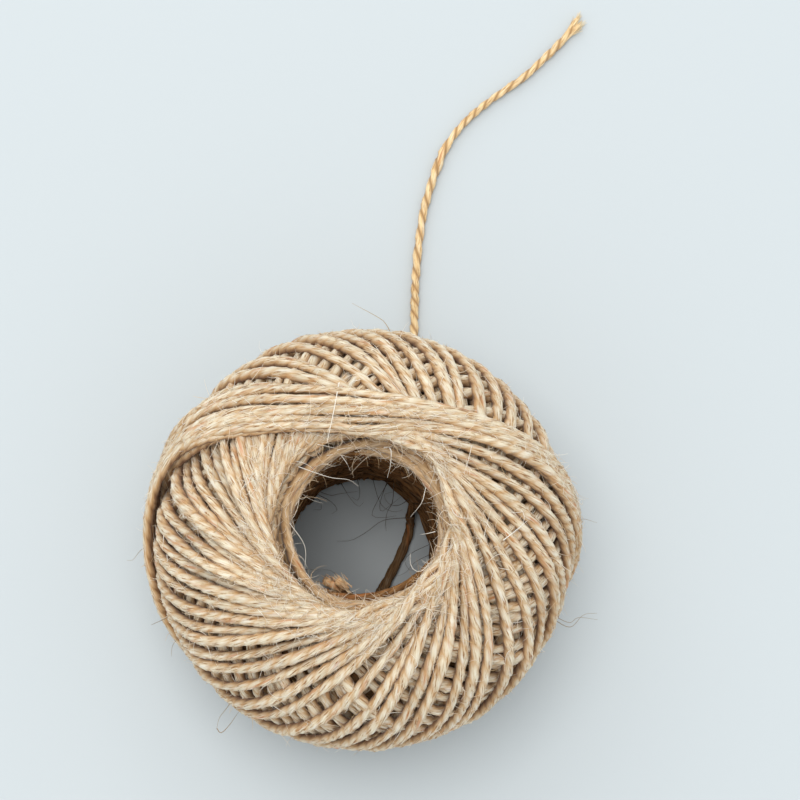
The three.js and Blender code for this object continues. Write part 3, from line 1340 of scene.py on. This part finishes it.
@dataclass(frozen=True)
class Stray:
    """A long fibre that shows by itself, through points given by angle, radius and height."""

    points: tuple[Triple, ...]
    thickness: float
    tone: float = 0.5

    def path(self, joints: int) -> Array:
        """The fibre's middle line.

        Args:
            joints: How many points it has.

        Returns:
            The points, by joint.
        """
        angle, radius, height = np.array(self.points).T
        angle = np.radians(angle)
        route = np.stack([radius * np.cos(angle), radius * np.sin(angle), height], axis=1)
        line = smooth_run(route).even(0.1).centres
        return line[np.linspace(0, len(line) - 1, joints).astype(int)]


@dataclass(frozen=True)
class StrayGroup:
    """Long fibres of one finish, each placed one by one."""

    name: str
    strays: tuple[Stray, ...]
    joints: int = 16

    def build(self, material: bpy.types.Material) -> bpy.types.Object:
        """Makes and dresses the fibres.

        Args:
            material: Their finish.

        Returns:
            The piece.
        """
        paths = np.stack([s.path(self.joints) for s in self.strays])
        thickness = np.array([s.thickness for s in self.strays])
        tone = np.array([s.tone for s in self.strays])
        piece = fibre_shape(paths, thickness, tone).piece(self.name, material)
        dress([piece])
        return piece


def fibre_shape(paths: Array, thickness: Array, tone: Array) -> Shape:
    """Thin tapering tubes along the fibres.

    Args:
        paths: The fibres' points, by fibre and joint.
        thickness: Their diameters at the root.
        tone: Each fibre's colour, from golden at 0 to pale at 1.

    Returns:
        All the fibres' faces.
    """
    count, joints, _ = paths.shape
    ahead = np.gradient(paths, axis=1)
    ahead /= np.maximum(np.linalg.norm(ahead, axis=2, keepdims=True), 1e-9)
    other = np.where(np.abs(ahead[..., 2:3]) > 0.8, [[[1.0, 0, 0]]], [[[0, 0, 1.0]]])
    side = np.cross(ahead, other)
    side /= np.linalg.norm(side, axis=2, keepdims=True)
    up = np.cross(side, ahead)
    taper = np.linspace(1.0, FIBRE_TIP, joints)[None, :, None, None] * thickness[:, None, None, None] / 2
    sides = FIBRE_SIDES
    turn = (np.arange(sides) * 2 * np.pi / sides)[None, None, :, None]
    ring = np.cos(turn) * side[:, :, None, :] + np.sin(turn) * up[:, :, None, :]
    points = paths[:, :, None, :] + taper * ring
    fibre = np.repeat(np.arange(count), (joints - 1) * sides)
    joint = np.tile(np.repeat(np.arange(joints - 1), sides), count)
    point = np.tile(np.arange(sides), count * (joints - 1))
    beside = (point + 1) % sides
    here = (fibre * joints + joint) * sides
    after = here + sides
    quads = np.stack([here + point, here + beside, after + beside, after + point], axis=1)
    columns = math.ceil(math.sqrt(count * 8))
    rows = math.ceil(count / columns)
    across, along = FIBRE_MARGINS
    wide = 1 - 2 * across
    tall = 1 - 2 * along
    left = (fibre % columns + across + wide * point / sides) / columns
    right = (fibre % columns + across + wide * (point + 1) / sides) / columns
    low = (fibre // columns + along + tall * joint / (joints - 1)) / rows
    high = (fibre // columns + along + tall * (joint + 1) / (joints - 1)) / rows
    corners = np.stack(
        [np.stack(pair, axis=1) for pair in ((left, low), (right, low), (right, high), (left, high))],
        axis=1,
    )
    tones = np.repeat(tone, joints * sides)
    return Shape(points.reshape(-1, 3), quads, corners.reshape(-1, 2), {"tone": tones})


def smooth_run(route: Sequence[Sequence[float]], start: float = 0.0) -> Run:
    """A smooth run of twine through given points.

    Args:
        route: The points.
        start: Where along the twine it begins.

    Returns:
        The run, with the way up at its level stretches and the way inward at its steep ones.
    """
    points = np.array(route)
    padded = np.concatenate([[2 * points[0] - points[1]], points, [2 * points[-1] - points[-2]]])
    share = np.linspace(0, 1, CURVE_STEPS, endpoint=False)[:, None]
    pieces = []
    for n in range(1, len(padded) - 2):
        a, b, c, d = padded[n - 1 : n + 3]
        curve = 2 * b + (c - a) * share + (2 * a - 5 * b + 4 * c - d) * share**2
        pieces.append(0.5 * (curve + (3 * b - a - 3 * c + d) * share**3))
    centres = np.concatenate(pieces + [points[-1:]])
    ahead = np.gradient(centres, axis=0)
    ahead /= np.linalg.norm(ahead, axis=1, keepdims=True)
    steep = np.abs(ahead[:, 2:3]) > STEEP_RISE
    inward = -centres * [1, 1, 0] + 1e-6
    inward /= np.linalg.norm(inward, axis=1, keepdims=True)
    return Run(centres, np.where(steep, inward, [[0.0, 0.0, 1.0]]), start)


@dataclass
class FreeEnd:
    """A loose end of the twine along a given route, its two plies parted at the cut.

    The cut is how much of the route's end is left off, and the plies part a frayed length before it
    and run on past it.
    """

    name: str
    node: str
    slot: str
    route: tuple[Triple, ...]
    twine: Twine
    start: float = 0.0
    cut: float = 0.0
    frayed: float = 4.0
    past: float = 1.2
    spread: float = 0.9
    spread_way: Triple = (1.0, 0.0, 0.0)
    tip_way: Triple | None = None
    tip_lean: Triple = (0.0, 0.0, 0.0)
    ply_diameter: float = 1.2
    ply_gap: float = 0.25
    ply_joints: int = 14
    ply_shift: float = 30.0
    longer_by: float = 0.8
    root_girth: float = 0.8
    tip_girth: float = 1.0
    tuft: int = 50
    tuft_length: Pair = (-0.2, 1.0)
    tuft_back: Pair = (0.8, 3.4)
    tuft_wander: float = 0.09
    tuft_spread: float = 0.26
    tuft_joints: int = 5
    tuft_thickness: float = 0.24
    floor_gap: float = 0.08

    def build(
        self,
        material: bpy.types.Material,
        tip_material: bpy.types.Material,
        tuft_material: bpy.types.Material,
    ) -> bpy.types.Object:
        """Makes and dresses the end and its frayed tip, and hides the solid that it replaces.

        Args:
            material: The end's finish.
            tip_material: The finish of its parted plies.
            tuft_material: The finish of the fibres at their cuts.

        Returns:
            The piece.
        """
        run = smooth_run(self.route, self.start).even(Detail.END.step)
        kept = len(run.centres) - round(self.cut / Detail.END.step)
        run = Run(run.centres[:kept], run.ups[:kept], self.start)
        piece = self.twine.shape([run], Detail.END).piece(self.name, material)
        even = run.centres
        runs = self._plies(even)
        ply = Twine(diameter=self.ply_diameter, ply_share=0.0, painted_groove_darkness=0.0, painted_flank_darkness=0.1)
        tip = ply.shape(runs, Detail.END).piece(f"{self.name}_tip", tip_material)
        tuft = self._tuft(runs).piece(f"{self.name}_tuft", tuft_material)
        for part in (piece, tip, tuft):
            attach(part, BODY)
        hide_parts(self.node)
        return piece

    def _plies(self, line: Array) -> list[Run]:
        """The parted plies at the cut.

        Args:
            line: The end's middle line.

        Returns:
            A run for each ply.
        """
        ahead = line[-1] - line[-4]
        ahead /= np.linalg.norm(ahead)
        aside = np.array(self.spread_way) - ahead * np.dot(self.spread_way, ahead)
        aside /= np.linalg.norm(aside)
        way = np.array(ahead if self.tip_way is None else self.tip_way)
        way /= np.linalg.norm(way)
        share = np.linspace(0, 1, self.ply_joints)[:, None]
        runs = []
        for sign, more in ((1.0, 0.0), (-1.0, self.longer_by)):
            away = sign * (self.ply_gap + self.spread * share**1.6)
            along = -self.frayed + (self.frayed + self.past + more) * share
            before = ahead * np.minimum(along, 0)
            after = way * np.maximum(along, 0)
            centres = line[-1] + before + after + aside * away
            centres = centres + np.array(self.tip_lean) * np.clip(along / self.past, 0, 1) ** 3
            centres[:, 2] = np.maximum(centres[:, 2], self.ply_diameter / 2)
            ups = np.tile(np.cross(ahead, aside), (len(share), 1))
            girth = np.linspace(self.root_girth, self.tip_girth, len(share))
            runs.append(Run(centres, ups, self.start + self.ply_shift * sign, girth))
        return runs

    def _tuft(self, plies: Sequence[Run]) -> Shape:
        """The fibres that fan out of the cut plies.

        Args:
            plies: The plies' runs.

        Returns:
            All their faces.
        """
        random = np.random.default_rng(len(self.name))
        paths = []
        for n in range(self.tuft):
            ply = plies[n % len(plies)].centres
            ahead = ply[-1] - ply[-2]
            ahead /= np.linalg.norm(ahead)
            way = ahead + random.normal(0, self.tuft_wander, 3)
            bend = random.normal(0, self.tuft_wander, 3)
            back = random.uniform(*self.tuft_back)
            beside = random.normal(0, self.tuft_spread * self.ply_diameter, 3)
            root = ply[-1] - back * ahead + beside
            reach = random.uniform(*self.tuft_length) + back
            at = np.linspace(0, 1, self.tuft_joints)[:, None]
            paths.append(root + reach * (way * at + bend * at**2))
        paths = np.stack(paths)
        paths[..., 2] = np.maximum(paths[..., 2], self.floor_gap)
        thickness = np.full(self.tuft, self.tuft_thickness)
        return fibre_shape(paths, thickness, random.random(self.tuft))


@dataclass(frozen=True)
class Lamp:
    """A square lamp that faces the ball: its place and width in metres, its watts and its colour."""

    name: str
    at: Triple
    size: float
    power: float
    colour: Triple
    faces: Triple = (0.0, 0.0, 0.03)

    def hang(self) -> None:
        """Hangs the lamp."""
        data = bpy.data.lights.new(self.name, "AREA")
        data.size = self.size
        data.energy = self.power
        data.color = self.colour
        made = bpy.data.objects.new(self.name, data)
        made.location = self.at
        way = Vector(self.faces) - Vector(self.at)
        made.rotation_euler = way.to_track_quat("-Z", "Y").to_euler()
        bpy.context.collection.objects.link(made)


@dataclass(frozen=True)
class Studio:
    """A pale floor, soft light and a camera above the ball."""

    camera_at: Triple = (3.02, -45.6, 544.9)
    camera_to: Triple = (9.14, 28.78, 0.0)
    field_of_view: float = 15.98
    floor_colour: Triple = (0.505, 0.543, 0.557)
    floor_size: float = 3000.0
    floor_roughness: float = 0.9
    floor_specular: float = 0.1
    sky_colour: Triple = (0.93, 0.97, 1.0)
    sky_strength: float = 0.98
    lamps: tuple[Lamp, ...] = (
        Lamp("key", (-0.25, 1.1, 1.0), 1.5, 6.4, (1.0, 0.98, 0.95)),
        Lamp("overhead", (-0.08, 0.12, 1.4), 0.7, 9.5, (1.0, 0.98, 0.96)),
    )

    def camera(self) -> None:
        """Sets the camera at the photograph's angle."""
        data = bpy.data.cameras.new("camera")
        data.sensor_fit = "HORIZONTAL"
        data.angle = math.radians(self.field_of_view)
        made = bpy.data.objects.new("camera", data)
        at = Vector(self.camera_at) * MM
        back = (at - Vector(self.camera_to) * MM).normalized()
        right = Vector((0, 0, 1)).cross(back).normalized()
        up = back.cross(right)
        made.matrix_world = Matrix.Translation(at) @ Matrix((right, up, back)).transposed().to_4x4()
        bpy.context.collection.objects.link(made)
        bpy.context.scene.camera = made

    def floor(self) -> None:
        """Lays the floor."""
        half = self.floor_size / 2 * MM
        mesh = bpy.data.meshes.new("floor")
        corners = [(-half, -half, 0), (half, -half, 0), (half, half, 0), (-half, half, 0)]
        mesh.from_pydata(corners, [], [(0, 1, 2, 3)])
        made = bpy.data.objects.new("floor", mesh)
        material = bpy.data.materials.new("floor_paint")
        material.use_nodes = True
        shader = material.node_tree.nodes["Principled BSDF"]
        shader.inputs["Base Color"].default_value = (*self.floor_colour, 1.0)
        shader.inputs["Roughness"].default_value = self.floor_roughness
        shader.inputs["Specular IOR Level"].default_value = self.floor_specular
        mesh.materials.append(material)
        bpy.context.collection.objects.link(made)

    def lights(self) -> None:
        """Hangs two wide soft lamps, and fills the rest from all round."""
        world = bpy.data.worlds.new("studio")
        world.use_nodes = True
        sky = world.node_tree.nodes["Background"]
        sky.inputs["Color"].default_value = (*self.sky_colour, 1.0)
        sky.inputs["Strength"].default_value = self.sky_strength
        bpy.context.scene.world = world
        for lamp in self.lamps:
            lamp.hang()
        bpy.context.scene.view_settings.view_transform = "Standard"


# Painted shade: in each finish below, the edge colour and the darkest colour after it are laid on the
# twine's flanks and deep grooves, standing in for the shade between turns.
WOUND_JUTE = JuteFinish(
    "wound_jute",
    pale=(0.75, 0.688, 0.543),
    middle=(0.62, 0.508, 0.343),
    dark=(0.25, 0.115, 0.04),
    sheen=0.12,
)
LOOSE_JUTE = JuteFinish(
    "loose_jute",
    pale=(0.87, 0.68, 0.39),
    middle=(0.74, 0.51, 0.25),
    dark=(0.42, 0.23, 0.09),
    bleached=(0.86, 0.76, 0.55),
    edge=(0.46, 0.26, 0.10),
    painted_shade=(0.15, 0.07, 0.03),
)
# Partly the browner colour of the older inner twine, partly painted shade: the inner end is coloured far
# darker than the outer twine, standing in for the shade of the hole it lies in.
INNER_JUTE_AND_SHADE = JuteFinish(
    "inner_jute_and_shade",
    pale=(0.25, 0.145, 0.065),
    middle=(0.15, 0.08, 0.034),
    dark=(0.055, 0.026, 0.011),
    bleached=(0.27, 0.20, 0.13),
    edge=(0.16, 0.085, 0.035),
    painted_shade=(0.06, 0.025, 0.01),
    sheen=0.0,
)
# Painted light: the cut plies are coloured near-white orange, brighter than any other twine, to make up for
# the shade of the hole they stand in.
TIP_JUTE_PAINTED_LIGHT = JuteFinish(
    "cut_tip_painted_light",
    pale=(0.98, 0.73, 0.43),
    middle=(0.97, 0.60, 0.31),
    dark=(0.84, 0.35, 0.12),
    bleached=(0.98, 0.82, 0.58),
    sheen=0.0,
)
RING_JUTE = JuteFinish(
    "ring_jute",
    pale=(0.70, 0.51, 0.31),
    middle=(0.51, 0.335, 0.175),
    dark=(0.25, 0.13, 0.055),
    bleached=(0.66, 0.55, 0.41),
    edge=(0.40, 0.235, 0.10),
    painted_shade=(0.13, 0.055, 0.018),
)
# Partly the browner colour of older inner twine, partly painted shade: the hole's wall and the turn that
# sags into the hole are coloured far darker than the outer twine, standing in for the shade deep in the
# hole.
WALL_JUTE_AND_SHADE = JuteFinish(
    "wall_jute_and_shade",
    pale=(0.37, 0.195, 0.075),
    middle=(0.20, 0.092, 0.032),
    dark=(0.055, 0.023, 0.008),
    bleached=(0.34, 0.22, 0.12),
    edge=(0.115, 0.05, 0.016),
    painted_shade=(0.035, 0.014, 0.005),
    sheen=0.0,
)
# Painted shade: the buried turns are coloured dark brown so that the gaps between the turns above read as
# shade.
BURIED_SHADE_JUTE = JuteFinish(
    "buried_shade_jute",
    pale=(0.25, 0.135, 0.055),
    middle=(0.16, 0.08, 0.03),
    dark=(0.07, 0.032, 0.012),
    bleached=(0.25, 0.135, 0.055),
    edge=(0.12, 0.055, 0.02),
    painted_shade=(0.05, 0.02, 0.008),
    sheen=0.0,
)
STRAY_FIBRES = FibreFinish("stray_fibres", pale=(0.86, 0.81, 0.71), golden=(0.55, 0.35, 0.15))
LOOSE_FIBRES = FibreFinish("loose_fibres", pale=(0.92, 0.76, 0.48), golden=(0.66, 0.44, 0.18))
# Painted light: the fibres at the inner end's cut are coloured bright orange to make up for the shade of
# the hole.
TIP_FIBRES_PAINTED_LIGHT = FibreFinish("cut_tip_fibres_painted_light", pale=(0.98, 0.80, 0.55), golden=(0.98, 0.60, 0.30))
BROWN_FIBRES = FibreFinish("brown_fibres", pale=(0.42, 0.31, 0.17), golden=(0.17, 0.11, 0.06))
# Painted shade: fibres deep in the hole are coloured near-black brown for the shade that they lie in.
SHADE_PAINTED_FIBRES = FibreFinish("shade_painted_fibres", pale=(0.16, 0.11, 0.07), golden=(0.08, 0.05, 0.03))

DOWN = Fuzz(
    "surface_fibres",
    seed=3,
    count=8400,
    length=(0.8, 3.6),
    thickness=0.11,
    joints=4,
    lift=0.4,
    curl=1.1,
    rim_share=1.5,
)
WHISKERS = Fuzz(
    "long_fibres",
    seed=4,
    count=1300,
    length=(2.5, 8.0),
    thickness=0.14,
    joints=8,
    lift=0.4,
    curl=2.0,
    rim_share=2.5,
    facing=0.35,
)
TANGLES = Fuzz(
    "tangled_fibres",
    seed=6,
    count=3200,
    length=(1.5, 4.5),
    thickness=0.13,
    joints=6,
    lift=0.3,
    curl=1.6,
    rim_share=3.0,
    facing=0.3,
)

LONE_FIBRES = (
    Stray(((94, 25.0, 56.5), (99, 19.6, 60.4), (108, 14.8, 61.5)), 0.3, 1.0),
    Stray(((31, 23.6, 57.0), (26, 21.5, 60.2), (21, 19.7, 60.2)), 0.18, 1.0),
    Stray(((-11, 24.6, 57.5), (-7, 26.6, 58.0), (-3, 28.7, 55.5)), 0.24, 1.0),
    Stray(((69, 14.2, 54.5), (64, 14.2, 56.0), (60, 12.0, 54.0), (58, 9.9, 51.0)), 0.28, 1.0),
    Stray(((132, 14.8, 56.0), (118, 10.3, 53.0), (100, 8.6, 52.0), (89, 7.4, 50.0)), 0.2, 1.0),
    Stray(((27, 13.2, 52.0), (18, 11.4, 51.0), (9, 8.8, 49.0)), 0.2, 1.0),
    Stray(((-8, 12.9, 52.0), (-10, 11.6, 52.0), (-11, 10.4, 51.0)), 0.22, 1.0),
    Stray(((172, 12.4, 53.0), (193, 10.3, 51.0), (213, 12.3, 52.0)), 0.2, 1.0),
    Stray(((101, 13.2, 52.0), (98, 11.6, 51.5), (96, 10.3, 49.5)), 0.18, 1.0),
)
EDGE_FIBRES = (
    Stray(
        ((176, 37.6, 28.0), (177, 39.3, 27.0), (178, 40.7, 26.0), (180, 42.2, 25.0), (180, 43.3, 25.0)),
        0.17,
    ),
    Stray(((-164, 35.6, 29.0), (-164, 37.0, 28.0), (-163, 38.5, 27.0), (-163, 41.5, 25.0)), 0.26, 0.2),
    Stray(((-159, 36.0, 25.0), (-157, 38.5, 23.0), (-156, 39.8, 22.0), (-154, 40.9, 21.0)), 0.17),
    Stray(((-135, 36.0, 25.0), (-134, 38.7, 23.0), (-134, 41.4, 21.0), (-133, 43.2, 20.0)), 0.2, 0.6),
    Stray(((-133, 43.2, 20.0), (-131.5, 43.4, 20.0), (-131, 41.4, 20.0), (-131, 38.4, 21.0)), 0.22, 0.5),
    Stray(((-27, 37.5, 24.0), (-27, 41.0, 22.0), (-23, 42.5, 22.0), (-21.6, 44.8, 22.0)), 0.18),
    Stray(((-26, 37.5, 23.0), (-26, 40.6, 22.0), (-24, 41.8, 22.0), (-23, 45.3, 22.0)), 0.16),
    Stray(((1, 37.4, 28.0), (0.8, 39.3, 26.0), (0.8, 40.7, 26.0), (-0.4, 42.9, 26.0)), 0.16),
    Stray(((77, 37.0, 33.0), (79, 38.8, 34.0), (81, 39.9, 34.0), (88, 42.6, 34.0)), 0.2, 1.0),
)
# Painted shade: these fibres lie deep in the hole and take the near-black fibre finish for its shade.
SHADED_FIBRES = (
    Stray(
        ((27, 10.8, 9.0), (36, 9.0, 7.0), (54, 6.5, 5.0), (75, 3.8, 4.0), (136, 3.2, 3.0), (155, 5.6, 2.0)),
        0.16,
    ),
    Stray(((60, 13.2, 13.0), (54, 10.3, 9.0), (54, 8.4, 6.0), (49, 6.8, 4.0), (39, 5.7, 2.0)), 0.2),
    Stray(((78, 13.0, 10.0), (71, 10.3, 6.0), (61, 9.0, 4.0), (48, 9.4, 3.0), (43, 10.8, 2.0)), 0.15),
    Stray(((91, 13.2, 10.0), (90, 11.1, 6.0), (93, 9.8, 3.0), (99, 10.7, 2.0)), 0.15),
    Stray(((66, 13.0, 11.0), (67, 9.6, 6.0), (62, 8.1, 4.0), (55, 10.5, 3.0), (52, 12.4, 2.0)), 0.15),
    Stray(((130, 14.6, 6.0), (127, 13.0, 3.0), (131, 11.6, 2.0), (136, 12.6, 2.0)), 0.15),
    Stray(((126, 13.4, 9.0), (120, 11.2, 5.0), (119, 9.5, 3.0), (127, 9.6, 2.0)), 0.14),
    Stray(((124, 14.4, 6.0), (117, 12.4, 4.0), (110, 12.0, 3.0), (92, 11.6, 2.0)), 0.14),
    Stray(((-1, 13.0, 11.0), (-8, 9.2, 6.0), (-19, 7.9, 4.0), (-28, 9.6, 3.0), (-17, 10.6, 2.0)), 0.14),
    Stray(((-9, 13.0, 10.0), (-19, 9.9, 6.0), (-34, 8.8, 4.0), (-48, 7.3, 3.0)), 0.13),
    Stray(((-167, 13.2, 10.0), (-162, 9.8, 5.0), (-154, 7.4, 3.0), (-137, 7.1, 2.0)), 0.13),
    Stray(((65, 13.0, 12.0), (71, 9.1, 6.0), (73, 6.8, 4.0), (55, 7.4, 3.0), (44, 9.1, 2.0)), 0.15),
    Stray(((42, 13.4, 10.0), (47, 10.6, 7.0), (58, 10.0, 5.0), (66, 11.4, 3.0), (60, 12.6, 2.0)), 0.15),
    Stray(((105, 13.2, 9.0), (101, 10.4, 5.0), (93, 8.6, 3.0), (86, 9.6, 2.0)), 0.13),
)

LOOSE_END_ROUTE = (
    (11.7, 23.3, 1.02),
    (12.1, 28.0, 1.02),
    (12.5, 34.0, 1.02),
    (13.0, 42.0, 1.02),
    (13.4, 46.0, 1.02),
    (14.1, 52.0, 1.02),
    (15.1, 58.0, 1.02),
    (16.7, 65.0, 1.02),
    (18.9, 71.0, 1.02),
    (21.2, 76.0, 1.02),
    (23.5, 79.3, 1.02),
    (26.4, 82.3, 1.02),
    (30.4, 85.3, 1.02),
    (34.6, 87.9, 1.02),
    (38.7, 90.3, 1.02),
    (42.6, 93.4, 1.02),
    (46.8, 97.0, 1.02),
    (50.2, 100.4, 1.02),
)
INNER_END_ROUTE = (
    (9.2, 6.1, 4.6),
    (9.1, 4.6, 2.3),
    (8.6, 2.6, 1.2),
    (7.4, 0.0, 1.05),
    (5.9, -2.6, 1.05),
    (4.4, -5.0, 1.2),
    (3.0, -7.2, 2.0),
    (1.8, -8.8, 4.0),
    (0.8, -9.7, 7.0),
    (-0.2, -10.2, 11.0),
    (-1.2, -10.4, 15.0),
    (-2.3, -10.3, 19.0),
    (-3.4, -9.8, 23.0),
    (-4.5, -9.0, 26.5),
    (-5.5, -7.9, 29.5),
    (-6.3, -6.6, 32.0),
)
INNER_LEAD_ROUTE = (
    (12.4, 11.2, 10.6),
    (11.2, 9.4, 9.2),
    (9.9, 7.6, 7.0),
    (9.2, 6.1, 4.6),
    (9.15, 5.3, 3.3),
)


def main() -> None:
    """Builds the studio, the ends, the winding and the fibres, in that order."""
    logging.basicConfig(level=logging.INFO, format="%(name)s: %(message)s")
    studio = Studio()
    studio.camera()
    studio.floor()
    studio.lights()

    tight = Twine(
        diameter=1.62,
        ply_share=0.36,
        painted_groove_darkness=0.8,
        painted_flank_darkness=0.25,
        uneven=0.06,
        rough=0.08,
    )
    slack = Twine(ply_share=0.3, painted_flank_darkness=0.12)
    wound = Twine(diameter=2.06, ply_share=0.12, painted_flank_darkness=0.95, uneven=0.1, rough=0.06)
    band = Twine(diameter=1.82, ply_share=0.12, painted_flank_darkness=0.8, uneven=0.06, rough=0.06)
    form = BallForm()
    loose_jute = LOOSE_JUTE.material()
    loose = FreeEnd(
        "loose_end_twine",
        "loose_end",
        "loose_twine",
        LOOSE_END_ROUTE,
        tight,
        cut=1.4,
        past=0.9,
        spread=0.42,
        ply_diameter=0.95,
    )
    loose.build(loose_jute, loose_jute, LOOSE_FIBRES.material())
    inner = FreeEnd(
        "inner_end_twine",
        "inner_end",
        "inner_twine",
        INNER_END_ROUTE,
        slack,
        start=500.0,
        cut=6.8,
        frayed=3.6,
        past=13.0,
        spread=0.75,
        tip_way=(0.0, 0.0, 1.0),
        tip_lean=(-1.9, 1.7, -3.8),
        tip_girth=0.8,
        ply_diameter=2.1,
        tuft=60,
        tuft_length=(-0.6, 0.5),
    )
    # The inner end's dark colour is partly painted shade, and its cut plies and their fibres are brightened
    # with painted light.
    inner.build(INNER_JUTE_AND_SHADE.material(), TIP_JUTE_PAINTED_LIGHT.material(), TIP_FIBRES_PAINTED_LIGHT.material())

    winding = Winding(form, wound, band)
    winding.build(WOUND_JUTE.material())
    Core(form).build(BURIED_SHADE_JUTE.material())
    wall_jute_and_shade = WALL_JUTE_AND_SHADE.material()
    HoleWall(form, wound, INNER_LEAD_ROUTE).build(wall_jute_and_shade)
    ring = HoleRing(form, wound)
    ring.build(RING_JUTE.material(), wall_jute_and_shade)

    pale = STRAY_FIBRES.material()
    roots = Roots.along(winding.runs(winding.top_from, len(winding.laps)) + ring.runs())
    for fuzz in (DOWN, WHISKERS, TANGLES):
        fuzz.build(roots, pale)
    StrayGroup("lone_fibres", LONE_FIBRES).build(pale)
    StrayGroup("edge_fibres", EDGE_FIBRES).build(BROWN_FIBRES.material())
    StrayGroup("shaded_fibres", SHADED_FIBRES).build(SHADE_PAINTED_FIBRES.material())


if __name__ == "__main__":
    main()
